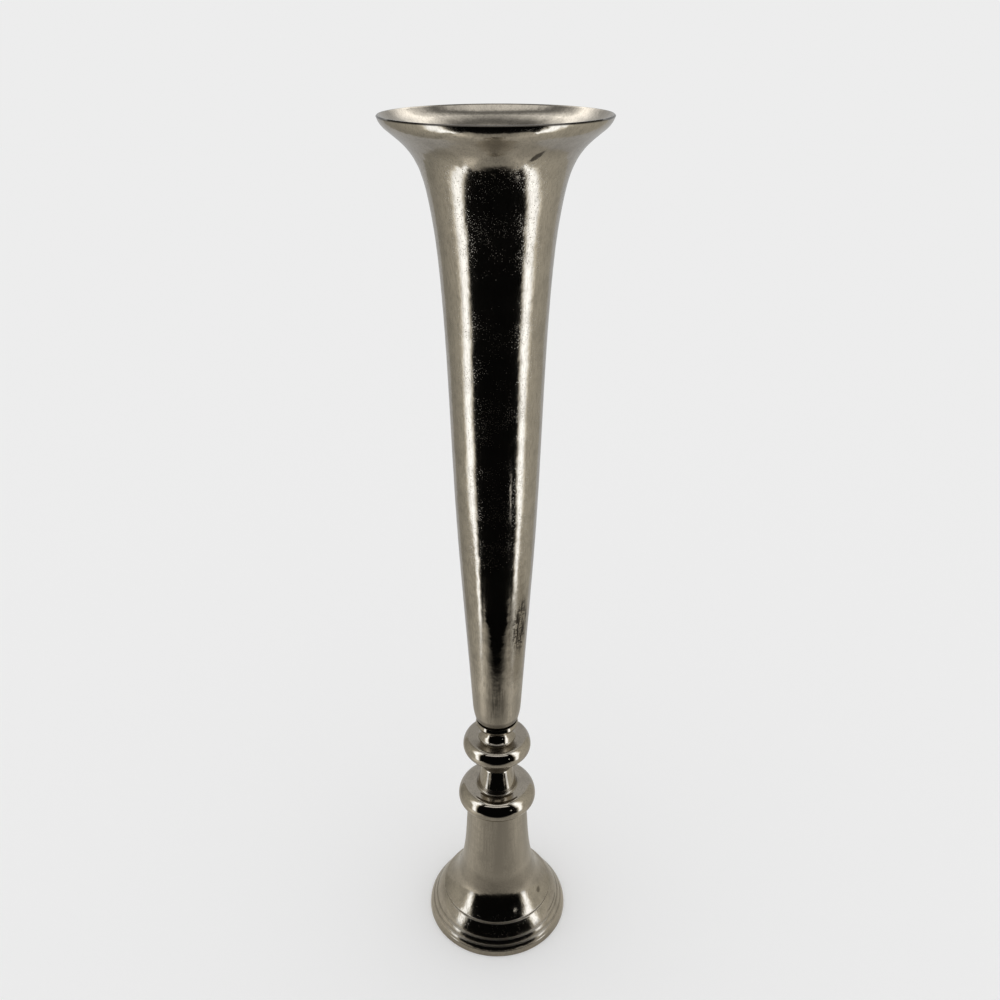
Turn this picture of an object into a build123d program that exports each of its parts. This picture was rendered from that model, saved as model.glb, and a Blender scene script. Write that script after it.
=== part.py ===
from build123d import *
import os

# Trumpet vase in nickel-plated cast aluminium, standing free on its foot.
#
# Four turned and polished castings are stacked on one long bolt: a hollow bell foot, a lower knop,
# an upper knop and the trumpet that holds the flowers. Each casting has a spigot on its top that
# centres the next one. The bolt's head lies in the hollow of the foot, on a lock washer and a wide
# flat washer, and its thread ends in a blind boss at the bottom of the trumpet, so the trumpet
# holds water. Turning the bolt lets the trumpet rise off the stack. Felt pads keep the foot's
# edge off the table.
#
# Millimetres, +Z up, origin on the table under the middle of the foot.

# Fits that the pieces share
spigot_gap = 0.15
recess_end_gap = 0.5
bolt_hole_gap = 0.5
thread_gap = 0.1
edge_chamfer = 0.6
edge_round_share = 0.29

# Felt pads under the foot
pad_count = 4
pad_radius = 4.0
pad_thickness = 1.2
pad_pocket_depth = 0.9
pad_pocket_gap = 0.3

# Tie bolt and its washers
bolt_radius = 4.0
bolt_head_width = 13.0
bolt_head_height = 5.3
bolt_head_chamfer = 0.8
bolt_tip_chamfer = 1.0
bolt_tip_gap = 1.5
thread_pitch = 1.25
thread_turns = 16
flat_washer_radius = 12.0
flat_washer_thickness = 2.0
lock_washer_radius = 7.4
lock_washer_thickness = 2.0
lock_washer_split = 1.4
washer_bore_gap = 0.2

# Bell foot, from its lower edge up
foot_radius = 64.5
foot_wall = 4.5
foot_rim_width = 10.0
foot_rim_height = 7.0
edge_height = 4.6
edge_reach = 1.0
low_ring_height = 4.0
low_ring_reach = 2.4
high_ring_height = 4.7
high_ring_reach = 2.8
band_height = 10.7
band_reach = 7.0
ledge_width = 0.3
ledge_rise = 0.3
quirk_height = 1.7
quirk_depth = 0.5
bell_height = 40.0
bell_reach = 18.8
column_height = 64.5
column_reach = 5.2
crown_thickness = 10.0
crown_vault_height = 6.0
foot_spigot_radius = 14.0
foot_spigot_height = 3.5
moulding_bulge_share = 0.04
bell_height_shares = (0.22, 0.46, 0.72)
bell_reach_shares = (0.43, 0.71, 0.88)
column_height_shares = (0.4,)
column_reach_shares = (0.53,)
foot_wall_shares = (0.0, 0.12, 0.24, 0.36, 0.5, 0.7, 1.0)

# Lower knop, from its bead up
lower_bead_radius = 34.5
lower_bead_nose = 9.2
lower_bead_under = 7.2
lower_bead_over = 12.0
waist_cove_height = 1.7
waist_foot_radius = 17.6
waist_height = 19.6
waist_top_radius = 13.4
waist_hollow = 0.15
lower_spigot_radius = 8.5
lower_spigot_height = 4.0

# Upper knop, from its lower neck up
lower_neck_radius = 13.1
lower_neck_height = 2.2
under_cove_height = 14.8
under_cove_reach = 6.5
upper_bead_radius = 29.6
upper_bead_nose = 6.0
upper_bead_under = 7.2
upper_bead_over = 9.1
upper_dish_rise = 0.5
fillet_ring_radius = 16.0
fillet_ring_height = 1.3
upper_neck_height = 12.4
upper_neck_radius = 12.8
upper_neck_top_radius = 14.2
upper_neck_low_share = 0.45
collar_step = 0.8
collar_radius = 18.3
collar_top_radius = 17.6
collar_height = 3.8
crease_radius = 13.4
crease_drop = 1.5
upper_spigot_radius = 10.0
upper_spigot_height = 4.0

# Trumpet, from its toe up
toe_seat_radius = 12.9
crease_rise = 1.2
toe_radius = 18.6
toe_round = 1.2
toe_height = 14.9
body_foot_radius = 20.6
body_height = 360.0
body_top_radius = 37.9
flare_height = 101.4
lip_height = 9.0
lip_reach = 6.0
mouth_radius = 75.7
trumpet_wall = 3.0
lip_thickness = 2.2
lip_chamfer = 0.7
lip_top_lean_share = 0.45
boss_roof = 4.4
cup_height = 9.0
body_height_shares = (0.25, 0.5, 0.75)
body_reach_shares = (0.31, 0.6, 0.775)
flare_height_shares = (0.3, 0.6, 0.8, 0.92, 0.965)
flare_reach_shares = (0.08, 0.225, 0.42, 0.695, 0.86)
trumpet_wall_shares = (0.0, 0.25, 0.5, 0.72, 0.83, 0.89, 0.93, 0.965, 1.0)

# Levels of the stack, each worked out from the pieces below
foot_base = pad_thickness - pad_pocket_depth
moulding_count = 4
mouldings_height = edge_height + low_ring_height + high_ring_height + band_height
mouldings_top = foot_base + mouldings_height + moulding_count * ledge_rise
bell_base = mouldings_top + quirk_height
column_base = bell_base + bell_height
crown_top = column_base + column_height
lower_bead_top = crown_top + lower_bead_under + lower_bead_over
waist_base = lower_bead_top + waist_cove_height
lower_knop_top = waist_base + waist_height
upper_bead_base = lower_knop_top + lower_neck_height + under_cove_height
upper_bead_top = upper_bead_base + upper_bead_under + upper_bead_over
upper_neck_base = upper_bead_top + upper_dish_rise + fillet_ring_height
collar_base = upper_neck_base + upper_neck_height
collar_low = collar_base + collar_step
collar_top = collar_low + collar_height
trumpet_base = collar_top + crease_drop
body_base = trumpet_base + toe_height
flare_base = body_base + body_height
lip_base = flare_base + flare_height
overall_height = lip_base + lip_height

# The bolt's places along the axis
washers_top = crown_top - crown_thickness
lock_washer_top = washers_top - flat_washer_thickness
bolt_seat = lock_washer_top - lock_washer_thickness
bolt_tip = trumpet_base + thread_turns * thread_pitch
cavity_floor = bolt_tip + bolt_tip_gap + boss_roof
through_hole_radius = bolt_radius + bolt_hole_gap
tapped_hole_radius = bolt_radius + thread_gap


def turned(*edges):
    """Solid of revolution about Z. The edges close a half section drawn with X as radius, Y as height."""
    section = make_face(edges)
    return revolve(Plane.XZ * section, Axis.Z)


def straight_edges(start, *corners):
    """Straight edges from a point through the corners, in order."""
    points = [start, *corners]
    return [Line(a, b) for a, b in zip(points, points[1:])]


def along(start, reach, height, height_shares, reach_shares):
    """Points of a curve between a start and a reach and height away from it, placed by shares."""
    radius, level = start
    return [(radius + r * reach, level + h * height) for h, r in zip(height_shares, reach_shares)]


def wall_points(curve, shares, wall):
    """Points that lie a wall's thickness inside an outer curve that runs upwards."""
    points = []
    for share in shares:
        place = curve @ share
        run = curve % share
        points.append((place.X - wall * run.Y, place.Y + wall * run.X))
    return points


def bulged_arc(start, end, bulge):
    """Arc between two points that swells outwards, away from the axis, by a bulge."""
    (r1, z1), (r2, z2) = start, end
    chord = Vector(r2 - r1, z2 - z1)
    outwards = Vector(chord.Y, -chord.X).normalized()
    middle = Vector((r1 + r2) / 2, (z1 + z2) / 2) + outwards * bulge
    return ThreePointArc(start, (middle.X, middle.Y), end)


def bead(radius, nose, base, under, over):
    """Round bead as two quarter ellipses that meet at its widest, fuller above than below."""
    centre = (radius - nose, base + under)
    return [
        EllipticalCenterArc(centre, nose, under, start_angle=-90, arc_size=90),
        EllipticalCenterArc(centre, nose, over, start_angle=0, arc_size=90),
    ]


def foot_mouldings():
    """The foot's edge, two rings and band: swelling faces parted by narrow ledges."""
    steps = (
        (edge_reach, edge_height),
        (low_ring_reach, low_ring_height),
        (high_ring_reach, high_ring_height),
        (band_reach, band_height),
    )
    edges = []
    radius, level = foot_radius, foot_base
    for reach, height in steps:
        start, end = (radius, level), (radius - reach, level + height)
        edges.append(bulged_arc(start, end, moulding_bulge_share * height))
        radius, level = end[0] - ledge_width, end[1] + ledge_rise
        edges.append(Line(end, (radius, level)))
    return edges, (radius, level)


def pad_places():
    """Places of the felt pads, evenly spaced on the middle of the foot's rim."""
    return PolarLocations(foot_radius - foot_rim_width / 2, pad_count, start_angle=180 / pad_count)


def standing_disc(radius):
    """Disc as thick as a felt pad, standing on the table."""
    return Cylinder(radius, pad_thickness, align=(Align.CENTER, Align.CENTER, Align.MIN))


def bell_foot():
    """Hollow bell foot: mouldings, sharp quirk, bell and column outside, even wall inside, thick crown."""
    mouldings, ledge_end = foot_mouldings()
    bell_radius = ledge_end[0]
    bell_start = (bell_radius, bell_base)
    column_start = (bell_radius - bell_reach, column_base)
    column_end = (column_start[0] - column_reach, crown_top - edge_chamfer)
    bell = Spline(
        bell_start,
        *along(bell_start, -bell_reach, bell_height, bell_height_shares, bell_reach_shares),
        column_start,
        *along(column_start, -column_reach, column_height, column_height_shares, column_reach_shares),
        column_end,
    )
    spigot_top = crown_top + foot_spigot_height
    vault_start = washers_top - crown_vault_height
    inner_end_share = 1 - (crown_top - vault_start) / bell.length
    inner_points = wall_points(bell, [s * inner_end_share for s in foot_wall_shares], foot_wall)
    inner = Spline(*inner_points)
    rim_inner_radius = foot_radius - foot_rim_width
    vault = Spline(
        inner_points[-1],
        (flat_washer_radius + edge_chamfer, washers_top),
        tangents=[inner % 1, (-1, 0)],
    )
    casting = turned(
        *mouldings,
        *straight_edges(ledge_end, (bell_radius - quirk_depth, mouldings_top), bell_start),
        bell,
        *straight_edges(
            column_end,
            (column_end[0] - edge_chamfer, crown_top),
            (foot_spigot_radius, crown_top),
            (foot_spigot_radius, spigot_top),
            (through_hole_radius, spigot_top),
            (through_hole_radius, washers_top),
            (flat_washer_radius + edge_chamfer, washers_top),
        ),
        vault,
        inner,
        *straight_edges(
            inner_points[0],
            (rim_inner_radius, foot_base + foot_rim_height),
            (rim_inner_radius, foot_base),
            (foot_radius, foot_base),
        ),
    )
    pocket = standing_disc(pad_radius + pad_pocket_gap)
    return casting - [place * pocket for place in pad_places()]


def lower_knop():
    """Round bead that flows up through a wide cove into a slim waist."""
    bead_centre = lower_bead_radius - lower_bead_nose
    waist_start = (waist_foot_radius, waist_base)
    waist_end = (waist_top_radius, lower_knop_top - edge_chamfer)
    waist = bulged_arc(waist_start, waist_end, -waist_hollow)
    recess_radius = foot_spigot_radius + spigot_gap
    recess_top = crown_top + foot_spigot_height + recess_end_gap
    spigot_top = lower_knop_top + lower_spigot_height
    return turned(
        *bead(lower_bead_radius, lower_bead_nose, crown_top, lower_bead_under, lower_bead_over),
        Spline((bead_centre, lower_bead_top), waist_start, tangents=[(-1, 0), waist % 0]),
        waist,
        *straight_edges(
            waist_end,
            (waist_top_radius - edge_chamfer, lower_knop_top),
            (lower_spigot_radius, lower_knop_top),
            (lower_spigot_radius, spigot_top),
            (through_hole_radius, spigot_top),
            (through_hole_radius, recess_top),
            (recess_radius, recess_top),
            (recess_radius, crown_top),
            (bead_centre, crown_top),
        ),
    )


def upper_knop():
    """Neck, bead, dish, hollow neck and collar in one turning, with a recess below and a spigot above."""
    bead_centre = upper_bead_radius - upper_bead_nose
    neck_start = (lower_neck_radius, lower_knop_top + edge_chamfer)
    cove_start = (lower_neck_radius, lower_knop_top + lower_neck_height)
    cove_end = (lower_neck_radius + under_cove_reach, upper_bead_base)
    ring_low = (fillet_ring_radius, upper_bead_top + upper_dish_rise)
    dish_end_run = (fillet_ring_radius - bead_centre, 2 * upper_dish_rise)
    ring_high = (fillet_ring_radius, upper_neck_base)
    neck_middle = (upper_neck_radius, upper_neck_base + upper_neck_low_share * upper_neck_height)
    neck_end = (upper_neck_top_radius, collar_base)
    collar_turn = (collar_radius - edge_chamfer, collar_low)
    collar_start = (collar_radius, collar_low + edge_chamfer)
    recess_radius = lower_spigot_radius + spigot_gap
    recess_top = lower_knop_top + lower_spigot_height + recess_end_gap
    spigot_top = trumpet_base + upper_spigot_height
    return turned(
        Line((lower_neck_radius - edge_chamfer, lower_knop_top), neck_start),
        Line(neck_start, cove_start),
        Spline(cove_start, cove_end, tangents=[(0, 1), (1, 0)]),
        Line(cove_end, (bead_centre, upper_bead_base)),
        *bead(upper_bead_radius, upper_bead_nose, upper_bead_base, upper_bead_under, upper_bead_over),
        Spline((bead_centre, upper_bead_top), ring_low, tangents=[(-1, 0), dish_end_run]),
        bulged_arc(ring_low, ring_high, fillet_ring_height / 2),
        ThreePointArc(ring_high, neck_middle, neck_end),
        Line(neck_end, collar_turn),
        bulged_arc(collar_turn, collar_start, edge_round_share * edge_chamfer),
        *straight_edges(
            collar_start,
            (collar_top_radius, collar_top),
            (crease_radius, collar_top),
            (crease_radius, trumpet_base),
            (upper_spigot_radius, trumpet_base),
            (upper_spigot_radius, spigot_top),
            (through_hole_radius, spigot_top),
            (through_hole_radius, recess_top),
            (recess_radius, recess_top),
            (recess_radius, lower_knop_top),
            (lower_neck_radius - edge_chamfer, lower_knop_top),
        ),
    )


def trumpet():
    """Slender tube with an undercut toe, a wide flare and a steep lip, hollow above its tapped boss."""
    body_start = (body_foot_radius, body_base)
    body_end = (body_top_radius, flare_base)
    body_reach = body_top_radius - body_foot_radius
    lip_start = (mouth_radius - lip_reach, lip_base)
    flare_reach = lip_start[0] - body_top_radius
    outside = Spline(
        body_start,
        *along(body_start, body_reach, body_height, body_height_shares, body_reach_shares),
        body_end,
        *along(body_end, flare_reach, flare_height, flare_height_shares, flare_reach_shares),
        lip_start,
    )
    toe_base = trumpet_base + crease_rise
    toe_turn = (toe_radius - toe_round, toe_base + toe_round)
    toe = Spline(
        (toe_radius, toe_turn[1]),
        body_start,
        tangents=[(body_foot_radius - toe_radius, toe_height / 2), outside % 0],
    )
    lip_outer = (mouth_radius, overall_height - lip_chamfer)
    lip_inner = (mouth_radius - lip_thickness, overall_height - lip_chamfer)
    inner_start_share = (cavity_floor + cup_height - body_base) / outside.length
    inner_shares = [inner_start_share + s * (1 - inner_start_share) for s in trumpet_wall_shares]
    inner_points = wall_points(outside, inner_shares, trumpet_wall)
    inside = Spline(*inner_points)
    recess_radius = upper_spigot_radius + spigot_gap
    recess_top = trumpet_base + upper_spigot_height + recess_end_gap
    tapped_top = bolt_tip + bolt_tip_gap
    return turned(
        EllipticalCenterArc(toe_turn, toe_round, toe_round, start_angle=-90, arc_size=90),
        toe,
        outside,
        Spline(lip_start, lip_outer, tangents=[outside % 1, (lip_top_lean_share * lip_reach, lip_height)]),
        *straight_edges(
            lip_outer,
            (lip_outer[0] - lip_chamfer, overall_height),
            (lip_inner[0] + lip_chamfer, overall_height),
            lip_inner,
        ),
        Spline(lip_inner, inner_points[-1], tangents=[(-lip_reach, -lip_height), (inside % 1) * -1]),
        inside,
        Spline(inner_points[0], (0, cavity_floor), tangents=[(inside % 0) * -1, (-1, 0)]),
        *straight_edges(
            (0, cavity_floor),
            (0, tapped_top),
            (tapped_hole_radius, tapped_top),
            (tapped_hole_radius, recess_top),
            (recess_radius, recess_top),
            (recess_radius, trumpet_base),
            (toe_seat_radius, trumpet_base),
            (toe_seat_radius, toe_base),
            (toe_turn[0], toe_base),
        ),
    )


def tie_bolt():
    """Long hexagon-headed bolt, head down, with a chamfered head and tip."""
    head_base = bolt_seat - bolt_head_height
    corner_radius = bolt_head_width / 3**0.5
    hexagon = RegularPolygon(radius=bolt_head_width / 2, side_count=6, major_radius=False)
    prism = extrude(Plane.XY.offset(head_base) * hexagon, bolt_head_height)
    rounding = turned(
        *straight_edges(
            (0, head_base),
            (corner_radius - bolt_head_chamfer, head_base),
            (corner_radius, head_base + bolt_head_chamfer / 3**0.5),
            (corner_radius, bolt_seat),
            (0, bolt_seat),
            (0, head_base),
        )
    )
    shank = turned(
        *straight_edges(
            (0, bolt_seat),
            (bolt_radius, bolt_seat),
            (bolt_radius, bolt_tip - bolt_tip_chamfer),
            (bolt_radius - bolt_tip_chamfer, bolt_tip),
            (0, bolt_tip),
            (0, bolt_seat),
        )
    )
    return (prism & rounding) + shank


def washer(radius, thickness, top):
    """Plain ring that fits loosely round the bolt."""
    bore = bolt_radius + washer_bore_gap
    return turned(
        *straight_edges(
            (bore, top - thickness),
            (radius, top - thickness),
            (radius, top),
            (bore, top),
            (bore, top - thickness),
        )
    )


def lock_washer():
    """Spring washer pressed flat, with the split that lets it spring."""
    ring = washer(lock_washer_radius, lock_washer_thickness, lock_washer_top)
    split = Box(
        lock_washer_radius,
        lock_washer_split,
        lock_washer_thickness,
        align=(Align.MIN, Align.CENTER, Align.MAX),
    )
    return ring - Pos(0, 0, lock_washer_top) * split


def felt_pads():
    """Round felt pads that stand a little proud of their pockets."""
    return [place * standing_disc(pad_radius) for place in pad_places()]


def main():
    nodes = {
        "bell_foot": bell_foot(),
        "lower_knop": lower_knop(),
        "upper_knop": upper_knop(),
        "trumpet": trumpet(),
        "tie_bolt": tie_bolt(),
        "flat_washer": washer(flat_washer_radius, flat_washer_thickness, washers_top),
        "lock_washer": lock_washer(),
    }
    for number, pad in enumerate(felt_pads(), start=1):
        nodes[f"felt_pad_{number}"] = pad
    os.makedirs("parts", exist_ok=True)
    for name, shape in nodes.items():
        export_step(shape, f"parts/{name}.step")
    print("overall height", round(overall_height, 2), "bolt length", round(bolt_tip - bolt_seat, 2))
    print("trumpet base", round(trumpet_base, 2), "cavity floor", round(cavity_floor, 2))


main()
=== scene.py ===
import math
from collections import namedtuple

import bpy
from mathutils import Matrix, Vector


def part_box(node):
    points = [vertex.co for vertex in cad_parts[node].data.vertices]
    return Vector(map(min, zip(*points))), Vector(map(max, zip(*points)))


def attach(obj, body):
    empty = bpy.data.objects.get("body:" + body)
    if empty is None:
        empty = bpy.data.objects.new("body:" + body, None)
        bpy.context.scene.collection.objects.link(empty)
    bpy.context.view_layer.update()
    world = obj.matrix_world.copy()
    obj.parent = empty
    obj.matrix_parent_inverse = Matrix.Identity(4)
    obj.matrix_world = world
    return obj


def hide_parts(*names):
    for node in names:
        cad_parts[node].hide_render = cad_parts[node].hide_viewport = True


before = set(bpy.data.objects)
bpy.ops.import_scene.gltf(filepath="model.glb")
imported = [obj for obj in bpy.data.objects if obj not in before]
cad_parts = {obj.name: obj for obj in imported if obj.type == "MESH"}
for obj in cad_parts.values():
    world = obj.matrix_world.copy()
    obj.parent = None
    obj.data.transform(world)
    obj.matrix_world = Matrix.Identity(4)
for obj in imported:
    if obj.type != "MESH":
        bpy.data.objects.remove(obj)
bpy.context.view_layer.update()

Satin = namedtuple("Satin", "start full rough")
# A dull band's last field darkens the crease with painted shade and tarnish
Dull = namedtuple("Dull", "low high blur rough dirt")
Spot = namedtuple("Spot", "centre size wander lean", defaults=(0.0,))

# Camera, in metres and degrees: it stands in front of the vase and looks down on it
camera_place = (0.0, -0.6435, 0.7658)
camera_pitch = 62.88
camera_roll = -0.11
camera_sensor = 36.0
camera_lens = 34.02
camera_shift = 0.0035

# Light tent that the metal mirrors, dark at its open front
tent_half_width = 0.32
tent_front = -0.335
tent_back = 0.30
tent_height = 1.05
card_lift = 0.0002
dark = 0.003
white = (1.0, 1.0, 1.0, 1.0)
floor_tint = (1.04, 1.0, 0.91, 1.0)
wall_tint = (1.04, 1.0, 0.89, 1.0)
lamp_tint = (0.95, 1.0, 1.08, 1.0)

# Lamp strips on the tent's side walls: heights between which they change, their width and their level
strip_foot = (0.18, 0.26)
strip_bend = (0.43, 0.50)
strip_fade = (0.54, 0.66)
strip_turn = (0.61, 0.67)
strip_turn_depth = 0.06
strip_foot_share = 0.58
strip_half_width = (0.01, 0.115)
strip_level = (0.5, 1.8)

# Pale floor and backdrop
floor_half_width = 6.0
floor_colour = (0.94, 0.94, 0.94, 1.0)
backdrop = 0.846
sky_light = 0.9

# Colours of the finishes
nickel_colour = (0.50, 0.455, 0.385)
# Dark brown of tarnish and stains, also painted as shade in the creases and hollows of the nickel
tarnish_and_shade_colour = (0.060, 0.047, 0.032, 1.0)
drip_colour = (0.075, 0.060, 0.042, 1.0)
stain_colour = (0.22, 0.19, 0.145, 1.0)
scar_colour = (0.030, 0.023, 0.016, 1.0)
steel_colour = (0.62, 0.63, 0.64)
bloom_colour = (0.54, 0.53, 0.47, 1.0)
felt_colour = (0.050, 0.050, 0.055)

# Roughness of the marks on the nickel
pit_rough = 0.36
haze_rough = 0.20
clear_rough = 0.06
stain_rough = 0.30
scar_rough = 0.45
# Roughness of the painted shade with grime in the knops' hollows
shade_and_grime_rough = 0.30
inside_rough = 0.14
raw_rough = 0.42
raw_rough_spread = 0.15

# Texture of the nickel, as features to a metre, and its pits in metres
patch_scale = 38.0
wave_scale = 32.0
ripple_scale = 115.0
cluster_scale = 70.0
pit_scale = 1050.0
tarnish_scale = 85.0
grain_scale = 900.0
ragged_scale = 260.0
streak_scale = (480.0, 480.0, 9.0)
broad_streak_scale = (110.0, 110.0, 5.0)
drip_scale = (750.0, 750.0, 16.0)
upright_scar_scale = (560.0, 560.0, 60.0)
level_scar_scale = (150.0, 150.0, 560.0)
raw_scale = 420.0
pit_depth = 0.00003
pit_blur = 0.03

# Texture of the steel and the felt, as features to a metre, and its depth in metres
bloom_scale = 210.0
drawing_scale = (900.0, 900.0, 2400.0)
drawing_depth = 0.00002
fibre_scale = (1500.0, 700.0, 1500.0)
fibre_depth = 0.0003
lint_scale = 2600.0

# Pitted, satin and dull bands of the trumpet by height, and its marks
trumpet_pits = ((0.600, 0.705), (0.480, 0.610), (0.375, 0.495))
trumpet_satin = Satin(0.275, 0.245, 0.22)
flare_dull = Dull(0.6880, 0.7050, 0.006, 0.15, 0.2)
toe_dull = Dull(0.2250, 0.2335, 0.003, 0.26, 0.6)
# Painted dark reflection under the lip, at the right front
lip_dark_reflection_spot = Spot((0.0240, -0.0525, 0.6914), (0.0068, 0.0068, 0.0018), 1.0, 0.6)
flaw_spot = Spot((0.0180, -0.0170, 0.3330), (0.0100, 0.0100, 0.0340), 0.4)
stain_spot = Spot((0.0160, -0.0190, 0.3300), (0.0100, 0.0120, 0.0750), 0.5)
haze_top = (0.33, 0.37)
haze_side = (0.007, 0.012)
clear_band = (0.262, 0.360, 0.02)
clear_side = (0.006, 0.011)
drip_band = (0.234, 0.288, 0.014)
drip_side = (0.003, 0.010)
# Painted dark reflection along the rim's edge
painted_rim_reflection = (0.7097, 0.7103)

# Dull bands of the two knops, darkened with painted crease shade and tarnish, and painted shade with grime
# in their hollows
under_bead_dull = Dull(0.1715, 0.1940, 0.005, 0.22, 0.8)
neck_dull = Dull(0.1705, 0.1885, 0.0012, 0.30, 0.95)
dish_dull = Dull(0.2046, 0.2061, 0.0005, 0.22, 0.1)
ring_dull = Dull(0.2059, 0.2076, 0.0004, 0.30, 0.0)
crease_dull = Dull(0.2236, 0.2265, 0.0006, 0.30, 0.85)
collar_edge_dull = Dull(0.2195, 0.2215, 0.0006, 0.25, 0.55)
cove_dull = Dull(0.1508, 0.1560, 0.0012, 0.30, 0.35)
# Spots of painted shade with grime in the hollows above the beads, at the front
upper_shade_and_grime_spot = Spot((0.0, -0.0195, 0.2055), (0.010, 0.005, 0.0020), 0.6)
lower_shade_and_grime_spot = Spot((0.0, -0.0190, 0.1530), (0.012, 0.007, 0.0042), 0.6)

# Pitted, satin and dull bands of the foot, and its marks
foot_pits = ((0.0, 0.046),)
foot_satin = Satin(0.048, 0.085, 0.20)
crown_dull = Dull(0.1285, 0.1330, 0.0025, 0.26, 0.5)
root_dull = Dull(0.0440, 0.0660, 0.008, 0.18, 0.25)
quirk_dull = Dull(0.0246, 0.0280, 0.0010, 0.50, 0.0)
ledge_dulls = tuple(Dull(z - 0.0017, z + 0.0015, 0.0014, 0.40, 0.30) for z in (0.0093, 0.0143))
foot_stain_spot = Spot((0.0385, -0.0190, 0.0345), (0.0034, 0.0036, 0.0032), 0.9)
foot_scratch_spot = Spot((0.0515, -0.0200, 0.0174), (0.0100, 0.0160, 0.0050), 0.4)
foot_scratch_band = (0.0166, 0.0182, 0.0006)

# Tie bolt, an M8 with a 13 mm head
bolt_radius = 0.004
bolt_flats = 0.013
bolt_head = 0.0053
bolt_head_chamfer = 0.0008
bolt_tip_chamfer = 0.001
thread_pitch = 0.00125
thread_depth = 0.00077
thread_length = 0.030
thread_flank_slope = 2.6
thread_root_share = 0.15
bolt_sides = 72
shank_rings = 12
rings_per_turn = 8
just_above = 1e-7


class Nodes:
    """Short way to write a node tree, called n below: each call adds nodes and returns an output."""

    def __init__(self, tree):
        self.tree = tree
        tree.nodes.clear()

    def add(self, kind, out=0, settings=None, **inputs):
        node = self.tree.nodes.new(kind)
        for key, value in (settings or {}).items():
            setattr(node, key, value)
        for key, value in inputs.items():
            name = int(key[1:]) if key[0] == "i" and key[1:].isdigit() else key.replace("_", " ")
            socket = node.inputs[name]
            if isinstance(value, bpy.types.NodeSocket):
                self.tree.links.new(value, socket)
            else:
                socket.default_value = value
        return node.outputs[out] if node.outputs else None

    def math(self, operation, a, b=0.0):
        return self.add("ShaderNodeMath", settings={"operation": operation}, i0=a, i1=b)

    def times(self, first, *others):
        """Product of two or more values."""
        for other in others:
            first = self.math("MULTIPLY", first, other)
        return first

    def vector(self, operation, a, b=(0.0, 0.0, 0.0), out=0):
        return self.add("ShaderNodeVectorMath", out=out, settings={"operation": operation}, i0=a, i1=b)

    def axis(self, vector, name):
        return self.add("ShaderNodeSeparateXYZ", out=name, Vector=vector)

    def linear(self, value, to_low, to_high):
        """Range that a value between nothing and one is spread over."""
        return self.add("ShaderNodeMapRange", Value=value, To_Min=to_low, To_Max=to_high)

    def ramp(self, value, low, high, to_low=0.0, to_high=1.0):
        """Smooth step of a value between two limits."""
        return self.add(
            "ShaderNodeMapRange",
            settings={"interpolation_type": "SMOOTHSTEP"},
            Value=value, From_Min=low, From_Max=high, To_Min=to_low, To_Max=to_high,
        )

    def band(self, value, low, high, blur):
        """One between two limits and nothing outside them, with soft edges."""
        return self.times(self.ramp(value, low, low + blur), self.ramp(value, high - blur, high, 1.0, 0.0))

    def stretched(self, vector, scale):
        return self.add("ShaderNodeMapping", Vector=vector, Scale=scale)

    def noise(self, vector, scale, detail=2.0, roughness=0.5):
        return self.add(
            "ShaderNodeTexNoise", Vector=vector, Scale=scale, Detail=detail, Roughness=roughness
        )

    def drawn_noise(self, vector, scale, detail, roughness):
        """Noise with its own scale along each axis."""
        return self.noise(self.stretched(vector, scale), 1.0, detail, roughness)

    def mix(self, factor, a, b):
        return self.add("ShaderNodeMix", Factor=factor, A=a, B=b)

    def mix_colour(self, factor, a, b):
        return self.add("ShaderNodeMix", out=2, settings={"data_type": "RGBA"}, i0=factor, i6=a, i7=b)

    def bump(self, height, depth, below=None):
        inputs = {"Normal": below} if below else {}
        return self.add("ShaderNodeBump", Height=height, Strength=1.0, Distance=depth, **inputs)

    def spot(self, place, spot):
        """One within a ragged ellipsoid about a place, leant about the Y axis, and nothing outside it."""
        near = self.vector("SUBTRACT", place, spot.centre)
        near = self.add("ShaderNodeMapping", Vector=near, Rotation=(0.0, spot.lean, 0.0))
        near = self.stretched(near, tuple(1 / s for s in spot.size))
        reach = self.vector("LENGTH", near, out="Value")
        reach = self.math("ADD", reach, self.times(self.noise(place, ragged_scale, 3.0), spot.wander))
        return self.ramp(reach, 0.5 + spot.wander / 2, 1.0 + spot.wander / 2, 1.0, 0.0)

    def inside(self, place):
        """One on the faces that look towards the axis of the vase."""
        facing = self.add("ShaderNodeNewGeometry", out="Normal")
        outwards = self.stretched(place, (1.0, 1.0, 0.0))
        return self.math("LESS_THAN", self.vector("DOT_PRODUCT", facing, outwards, out="Value"), 0.0)

    def metal(self, colour, roughness, bump):
        shader = self.add(
            "ShaderNodeBsdfPrincipled", Base_Color=colour, Metallic=1.0, Roughness=roughness, Normal=bump
        )
        self.add("ShaderNodeOutputMaterial", Surface=shader)


def new_material(name):
    material = bpy.data.materials.new(name)
    material.use_nodes = True
    return material, Nodes(material.node_tree)


def new_object(name, points, faces):
    mesh = bpy.data.meshes.new(name)
    mesh.from_pydata(points, [], faces)
    piece = bpy.data.objects.new(name, mesh)
    bpy.context.scene.collection.objects.link(piece)
    return piece


def shade(colour, share):
    return (*(share * c for c in colour), 1.0)


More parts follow.
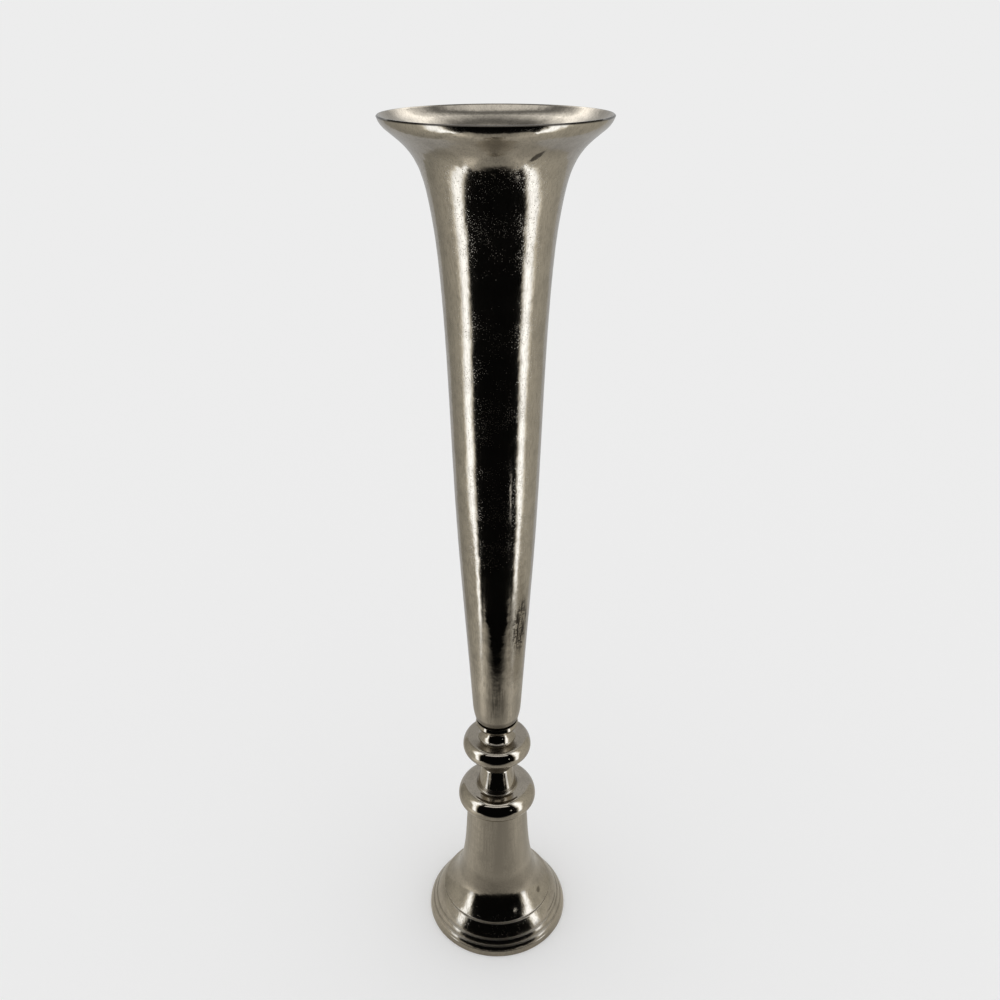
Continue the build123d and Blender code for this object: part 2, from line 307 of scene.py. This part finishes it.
def nickel_pits(n, place, height, patches, pit_bands):
    """Small pits, scattered in a few patches and crowded in the bands."""
    pitted = n.ramp(patches, 0.64, 0.78, 0.0, 0.5)
    clusters = n.ramp(n.noise(place, cluster_scale, 3.0, 0.6), 0.30, 0.64)
    for low, high in pit_bands:
        pitted = n.math("MAXIMUM", pitted, n.times(n.band(height, low, high, pit_blur), clusters))
    cells = {"Vector": place, "Scale": pit_scale}
    spread = n.add("ShaderNodeTexVoronoi", out="Distance", **cells)
    chance = n.add("ShaderNodeSeparateColor", Color=n.add("ShaderNodeTexVoronoi", out="Color", **cells))
    chosen = n.ramp(n.math("SUBTRACT", pitted, chance), 0.0, 0.35)
    return n.times(n.ramp(spread, 0.15, 0.42, 1.0, 0.0), chosen)


def nickel_tone(n, place, pits, drawn):
    """Colour of the plate: faint tarnish, a fine grain that may be drawn out upwards, and pits darkened
    with painted shade.
    """
    tarnish = n.ramp(n.noise(place, tarnish_scale, 5.0, 0.65), 0.42, 0.72)
    colour = n.mix_colour(tarnish, shade(nickel_colour, 1.0), shade(nickel_colour, 0.80))
    grain = n.drawn_noise(place, (grain_scale, grain_scale, grain_scale / drawn), 2.0, 0.6)
    colour = n.mix_colour(n.ramp(grain, 0.45, 0.70, 0.0, 0.5), colour, shade(nickel_colour, 0.6))
    # Pits darkened in colour: painted shade in the pits
    return n.mix_colour(n.times(pits, 0.45), colour, shade(nickel_colour, 0.25))


def nickel(name, rough, wave_depth, streak_depth, pit_bands=(), satin=None, dull=(), marks=None, drawn=1.0):
    """Hand-polished nickel over a casting: slow waves, pits, brush streaks, and dull creases darkened with
    painted shade and tarnish.
    """
    material, n = new_material(name)
    place = n.add("ShaderNodeTexCoord", out="Object")
    height = n.axis(place, "Z")
    patches = n.noise(place, patch_scale, 3.0, 0.6)
    waves = n.noise(place, wave_scale, 1.0, 0.4)
    ripples = n.noise(place, ripple_scale, 2.0, 0.5)
    streaks = n.drawn_noise(place, streak_scale, 3.0, 0.6)
    pits = nickel_pits(n, place, height, patches, pit_bands)
    colour = nickel_tone(n, place, pits, drawn)

    roughness = n.linear(patches, rough - 0.04, rough + 0.04)
    if satin:
        brushed = n.ramp(height, satin.start, satin.full)
        roughness = n.mix(brushed, roughness, satin.rough)
        broad = n.drawn_noise(place, broad_streak_scale, 2.0, 0.5)
        lines = n.math("MAXIMUM", n.ramp(streaks, 0.42, 0.68), n.ramp(broad, 0.45, 0.70))
        colour = n.mix_colour(n.times(brushed, lines), colour, shade(nickel_colour, 0.80))
    roughness = n.math("ADD", roughness, n.linear(streaks, -0.03, 0.03))
    for crease in dull:
        share = n.band(height, crease.low, crease.high, crease.blur)
        roughness = n.mix(share, roughness, crease.rough)
        # Painted shade with tarnish darkens each crease band
        shade_and_grime = n.times(share, n.ramp(patches, 0.25, 0.65, 0.75 * crease.dirt, crease.dirt))
        colour = n.mix_colour(shade_and_grime, colour, tarnish_and_shade_colour)
    roughness = n.mix(n.times(pits, 0.85), roughness, pit_rough)
    if marks:
        colour, roughness = marks(n, place, height, colour, roughness)

    bump = n.bump(waves, wave_depth)
    bump = n.bump(ripples, 0.22 * wave_depth, bump)
    bump = n.bump(streaks, streak_depth, bump)
    n.metal(colour, roughness, n.bump(pits, -pit_depth, bump))
    return material


def trumpet_marks(n, place, height, colour, roughness):
    """Hazy sides, stain, drips and scars low on the front, a painted dark reflection under the lip and a
    painted dark reflection along the rim.
    """
    across = n.math("ABSOLUTE", n.axis(place, "X"))
    haze = n.times(n.ramp(height, *haze_top, 1.0, 0.0), n.ramp(across, *haze_side))
    clear = n.times(n.band(height, *clear_band), n.ramp(across, *clear_side, 1.0, 0.0))
    roughness = n.mix(clear, n.mix(haze, roughness, haze_rough), clear_rough)

    stain = n.times(n.spot(place, stain_spot), 0.7)
    colour = n.mix_colour(stain, colour, stain_colour)
    roughness = n.mix(stain, roughness, stain_rough)

    front = n.times(
        n.ramp(across, *drip_side, 1.0, 0.0),
        n.band(height, *drip_band),
        n.math("LESS_THAN", n.axis(place, "Y"), 0.0),
    )
    drips = n.ramp(n.drawn_noise(place, drip_scale, 2.0, 0.6), 0.46, 0.60)
    colour = n.mix_colour(n.times(front, drips, 0.4), colour, drip_colour)

    upright = n.ramp(n.drawn_noise(place, upright_scar_scale, 3.0, 0.7), 0.46, 0.54)
    level = n.ramp(n.drawn_noise(place, level_scar_scale, 3.0, 0.7), 0.54, 0.60)
    scars = n.times(n.spot(place, flaw_spot), n.math("MAXIMUM", upright, level))
    # The spot under the lip is a painted dark reflection; the scars are real marks
    dark_marks = n.math("MAXIMUM", n.times(n.spot(place, lip_dark_reflection_spot), 0.85), scars)
    colour = n.mix_colour(dark_marks, colour, scar_colour)
    roughness = n.mix(dark_marks, roughness, scar_rough)

    inside = n.inside(place)
    roughness = n.mix(inside, roughness, inside_rough)
    # Painted dark reflection along the rim's edge, on the outer faces
    rim = n.times(n.ramp(height, *painted_rim_reflection), n.math("SUBTRACT", 1.0, inside))
    return n.mix_colour(n.times(rim, 0.85), colour, shade(nickel_colour, 0.06)), roughness


def front_shade_and_grime(spot, share):
    """Painted shade with polish grime in the hollow above a bead, darkest at the front."""

    def marks(n, place, height, colour, roughness):
        shade_and_grime = n.times(n.spot(place, spot), share)
        return n.mix_colour(shade_and_grime, colour, tarnish_and_shade_colour), n.mix(shade_and_grime, roughness, shade_and_grime_rough)

    return marks


def foot_marks(n, place, height, colour, roughness):
    """A stain and a scratch low on the right, and the unpolished hollow, raw from the mould."""
    scratch = n.times(n.spot(place, foot_scratch_spot), n.band(height, *foot_scratch_band))
    dark_marks = n.times(n.math("MAXIMUM", n.spot(place, foot_stain_spot), scratch), 0.6)
    colour = n.mix_colour(dark_marks, colour, tarnish_and_shade_colour)
    raw = n.inside(place)
    skin = n.ramp(n.noise(place, raw_scale, 4.0, 0.7), 0.3, 0.7)
    raw_colour = n.mix_colour(skin, shade(nickel_colour, 0.9), shade(nickel_colour, 0.55))
    raw_roughness = n.math("ADD", raw_rough, n.times(skin, raw_rough_spread))
    return n.mix_colour(raw, colour, raw_colour), n.mix(raw, roughness, raw_roughness)


def zinc_steel():
    """Bright zinc plate with a faint bloom and fine drawing lines."""
    material, n = new_material("zinc_steel")
    place = n.add("ShaderNodeTexCoord", out="Object")
    bloom = n.ramp(n.noise(place, bloom_scale, 4.0, 0.6), 0.35, 0.70)
    grain = n.drawn_noise(place, drawing_scale, 3.0, 0.6)
    colour = n.mix_colour(bloom, shade(steel_colour, 1.0), bloom_colour)
    n.metal(colour, n.linear(grain, 0.22, 0.42), n.bump(grain, drawing_depth))
    return material


def felt():
    """Pressed wool felt: matted fibres and a soft nap."""
    material, n = new_material("felt")
    place = n.add("ShaderNodeTexCoord", out="Object")
    fibres = n.drawn_noise(place, fibre_scale, 5.0, 0.75)
    lint = n.ramp(n.noise(place, lint_scale, 3.0, 0.7), 0.58, 0.74)
    colour = n.mix_colour(fibres, shade(felt_colour, 0.6), shade(felt_colour, 1.5))
    colour = n.mix_colour(n.times(lint, 0.5), colour, shade(felt_colour, 3.0))
    shader = n.add(
        "ShaderNodeBsdfPrincipled",
        Base_Color=colour, Roughness=0.95, Sheen_Weight=0.3, Normal=n.bump(fibres, fibre_depth),
    )
    n.add("ShaderNodeOutputMaterial", Surface=shader)
    return material


def dress(node, material):
    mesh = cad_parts[node].data
    mesh.materials.clear()
    mesh.materials.append(material)


def dress_castings():
    trumpet = nickel(
        "trumpet_nickel", rough=0.11, wave_depth=0.0006, streak_depth=0.00001, pit_bands=trumpet_pits,
        satin=trumpet_satin, dull=(flare_dull, toe_dull), marks=trumpet_marks, drawn=6.0,
    )
    # The knops get painted shade with grime in the hollows above their beads
    upper = nickel(
        "upper_knop_nickel", rough=0.06, wave_depth=0.0003, streak_depth=0.000005,
        dull=(under_bead_dull, neck_dull, dish_dull, ring_dull, crease_dull, collar_edge_dull),
        marks=front_shade_and_grime(upper_shade_and_grime_spot, 0.4),
    )
    lower = nickel(
        "lower_knop_nickel", rough=0.06, wave_depth=0.0003, streak_depth=0.000005,
        dull=(cove_dull,), marks=front_shade_and_grime(lower_shade_and_grime_spot, 0.75),
    )
    foot = nickel(
        "foot_nickel", rough=0.10, wave_depth=0.0004, streak_depth=0.00006, pit_bands=foot_pits,
        satin=foot_satin, dull=(crown_dull, root_dull, quirk_dull) + ledge_dulls, marks=foot_marks,
    )
    dress("trumpet", trumpet)
    dress("upper_knop", upper)
    dress("lower_knop", lower)
    dress("bell_foot", foot)


def bolt_radius_at(turn, level, low, high):
    """Radius of the bolt at a turn and a level: chamfered hexagon, plain shank, thread, chamfered tip."""
    seat = low + bolt_head
    if level <= seat:
        sixth = math.pi / 3
        hexagon = bolt_flats / 2 / math.cos(turn % sixth - sixth / 2)
        corner = bolt_flats / math.sqrt(3)
        return min(hexagon, corner - bolt_head_chamfer + (level - low) * math.sqrt(3))
    radius = bolt_radius
    start = high - thread_length
    if level > start:
        phase = (level / thread_pitch - turn / (2 * math.pi)) % 1.0
        flank = min(max(abs(phase - 0.5) * thread_flank_slope - thread_root_share, 0.0), 1.0)
        runout = min((level - start) / (2 * thread_pitch), 1.0)
        radius -= thread_depth * runout * (1.0 - flank)
    return min(radius, bolt_radius - bolt_tip_chamfer + high - level)


def threaded_bolt():
    """The tie bolt with its thread cut, as a skin of rings from the head to the tip."""
    low, high = (corner[2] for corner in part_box("tie_bolt"))
    seat = low + bolt_head
    start = high - thread_length
    head = [low + bolt_head_chamfer * share for share in (0.0, 0.25, 0.5, 1.0)] + [seat]
    shank = [seat + (start - seat) * k / shank_rings for k in range(shank_rings + 1)]
    steps = round(thread_length / thread_pitch * rings_per_turn)
    thread = [start + thread_length * k / steps for k in range(1, steps + 1)]
    levels = head + shank + thread
    points = []
    for row, level in enumerate(levels):
        on_head = row < len(head)
        for k in range(bolt_sides):
            turn = 2 * math.pi * k / bolt_sides
            radius = bolt_radius_at(turn, level if on_head else level + just_above, low, high)
            points.append((radius * math.cos(turn), radius * math.sin(turn), level))
    faces = []
    for row in range(len(levels) - 1):
        for k in range(bolt_sides):
            a = row * bolt_sides + k
            b = row * bolt_sides + (k + 1) % bolt_sides
            faces.append((a, b, b + bolt_sides, a + bolt_sides))
    faces.append(tuple(reversed(range(bolt_sides))))
    faces.append(tuple(range((len(levels) - 1) * bolt_sides, len(levels) * bolt_sides)))
    return new_object("threaded_bolt", points, faces)


def dress_fixings():
    steel = zinc_steel()
    for node in ("tie_bolt", "flat_washer", "lock_washer"):
        dress(node, steel)
    bolt = threaded_bolt()
    bolt.data.materials.append(steel)
    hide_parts("tie_bolt")
    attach(bolt, "bolt")
    wool = felt()
    for number in range(1, 5):
        dress(f"felt_pad_{number}", wool)


def stage_card(name, corners, glow):
    """Flat card that stands outside the object. Only mirrored light sees it."""
    card = new_object(name, corners, [tuple(range(len(corners)))])
    material, n = new_material(name)
    place = n.add("ShaderNodeTexCoord", out="Object")
    strength, colour = glow(n, *(n.axis(place, axis) for axis in "XYZ"))
    emission = n.add("ShaderNodeEmission", Color=colour, Strength=strength)
    n.add("ShaderNodeOutputMaterial", Surface=emission)
    card.data.materials.append(material)
    card.visible_camera = False
    card.visible_shadow = False
    card.visible_diffuse = False


def floor_glow(n, x, y, z):
    """Floor of the tent: dim in front of the vase, lighter at the sides."""
    forward = n.math("MAXIMUM", n.math("SUBTRACT", 0.03, y), 0.001)
    across = n.math("DIVIDE", n.math("ABSOLUTE", x), forward)
    middle = n.ramp(y, -0.325, -0.23, 0.01, 0.33)
    side = n.ramp(y, -0.02, 0.08, 0.55, 0.47)
    spill = n.math("ADD", n.ramp(x, -0.26, -0.14, 0.36, 0.0), n.ramp(x, 0.14, 0.26, 0.0, 0.08))
    side = n.math("ADD", side, n.times(spill, n.ramp(y, -0.10, 0.02, 1.0, 0.0)))
    return n.mix(n.ramp(across, 0.1, 1.9), middle, side), floor_tint


def wall_glow(low_middle, middle, high_middle, rear, rear_end):
    """Side wall of the tent: a lamp strip near its front, dull behind it, dark at its front edge."""

    def glow(n, x, y, z):
        strip_middle = n.ramp(z, *strip_foot, low_middle, middle)
        strip_middle = n.math("ADD", strip_middle, n.ramp(z, *strip_turn, 0.0, strip_turn_depth))
        strip_middle = n.math("ADD", strip_middle, n.ramp(z, *strip_bend, 0.0, high_middle - middle))
        off = n.math("ABSOLUTE", n.math("SUBTRACT", y, strip_middle))
        off = n.math("DIVIDE", off, n.ramp(z, *strip_foot, strip_foot_share, 1.0))
        lamp = n.ramp(off, *strip_half_width, 1.0, 0.0)
        strip = n.times(lamp, n.ramp(z, 0.0, 0.05, *strip_level), n.ramp(z, *strip_fade, 1.0, 0.35))
        dull = n.times(n.ramp(y, -0.05, 0.20, rear, rear_end), n.ramp(y, -0.27, -0.18))
        strength = n.times(n.math("ADD", strip, dull), n.ramp(z, 0.78, 0.95, 1.0, 0.35))
        colour = n.mix_colour(n.ramp(lamp, 0.1, 0.8), wall_tint, lamp_tint)
        return n.math("ADD", strength, dark), colour

    return glow


def roof_glow(n, x, y, z):
    """Roof of the tent: a lamp bar across its front, dim in the middle, lighter again at the back."""
    bar = n.band(y, -0.30, 0.08, 0.10)
    lit = n.math("ADD", n.times(bar, 0.8), n.ramp(y, 0.10, 0.30, 0.0, 1.2))
    return n.math("ADD", n.times(n.ramp(y, -0.30, -0.26), 0.24), lit), white


def back_glow(n, x, y, z):
    """Back wall of the tent: even, with a lamp along its top."""
    return n.ramp(z, 0.82, 1.0, 0.52, 2.2), white


def front_glow(n, x, y, z):
    """Front of the tent: a dark room behind the camera, a lamp high up and a small window at the right."""
    lamp = n.times(n.band(z, 0.56, 0.86, 0.13), 1.2)
    lamp = n.math("ADD", lamp, n.ramp(z, 0.66, 0.90, dark, 0.5))
    window = n.times(n.band(x, 0.232, 0.282, 0.02), n.band(z, 0.180, 0.250, 0.02))
    return n.math("ADD", lamp, n.times(window, 1.1)), white


def build_floor():
    half = floor_half_width
    corners = [(-half, -half, 0), (half, -half, 0), (half, half, 0), (-half, half, 0)]
    floor = new_object("floor", corners, [(0, 1, 2, 3)])
    material, n = new_material("floor")
    n.add("ShaderNodeOutputMaterial", Surface=n.add("ShaderNodeBsdfDiffuse", Color=floor_colour))
    floor.data.materials.append(material)


def build_tent():
    left, right, top = -tent_half_width, tent_half_width, tent_height
    front, back = tent_front, tent_back
    left_glow = wall_glow(low_middle=-0.178, middle=-0.135, high_middle=-0.162, rear=0.50, rear_end=0.34)
    right_glow = wall_glow(low_middle=-0.165, middle=-0.165, high_middle=-0.152, rear=0.55, rear_end=0.45)
    for name, z, glow in (("tent_floor", card_lift, floor_glow), ("tent_roof", top, roof_glow)):
        stage_card(name, [(left, front, z), (right, front, z), (right, back, z), (left, back, z)], glow)
    for name, y, glow in (("tent_back", back, back_glow), ("tent_front", front, front_glow)):
        stage_card(name, [(left, y, 0.0), (right, y, 0.0), (right, y, top), (left, y, top)], glow)
    for name, x, glow in (("tent_left", left, left_glow), ("tent_right", right, right_glow)):
        stage_card(name, [(x, front, 0.0), (x, back, 0.0), (x, back, top), (x, front, top)], glow)


def build_world():
    world = bpy.data.worlds.new("studio")
    bpy.context.scene.world = world
    world.use_nodes = True
    n = Nodes(world.node_tree)
    spread = n.add("ShaderNodeLightPath", out="Is Diffuse Ray")
    background = n.add("ShaderNodeBackground", Color=n.mix(spread, backdrop, sky_light))
    n.add("ShaderNodeOutputWorld", Surface=background)


def build_camera():
    data = bpy.data.cameras.new("camera")
    data.sensor_width = camera_sensor
    data.lens = camera_lens
    data.shift_x = camera_shift
    camera = bpy.data.objects.new("camera", data)
    camera.location = camera_place
    pitch = Matrix.Rotation(math.radians(camera_pitch), 3, "X")
    roll = Matrix.Rotation(math.radians(camera_roll), 3, "Z")
    camera.rotation_euler = (pitch @ roll).to_euler()
    bpy.context.scene.collection.objects.link(camera)
    bpy.context.scene.camera = camera


dress_castings()
dress_fixings()
build_floor()
build_tent()
build_world()
build_camera()
bpy.context.scene.view_settings.view_transform = "Standard"
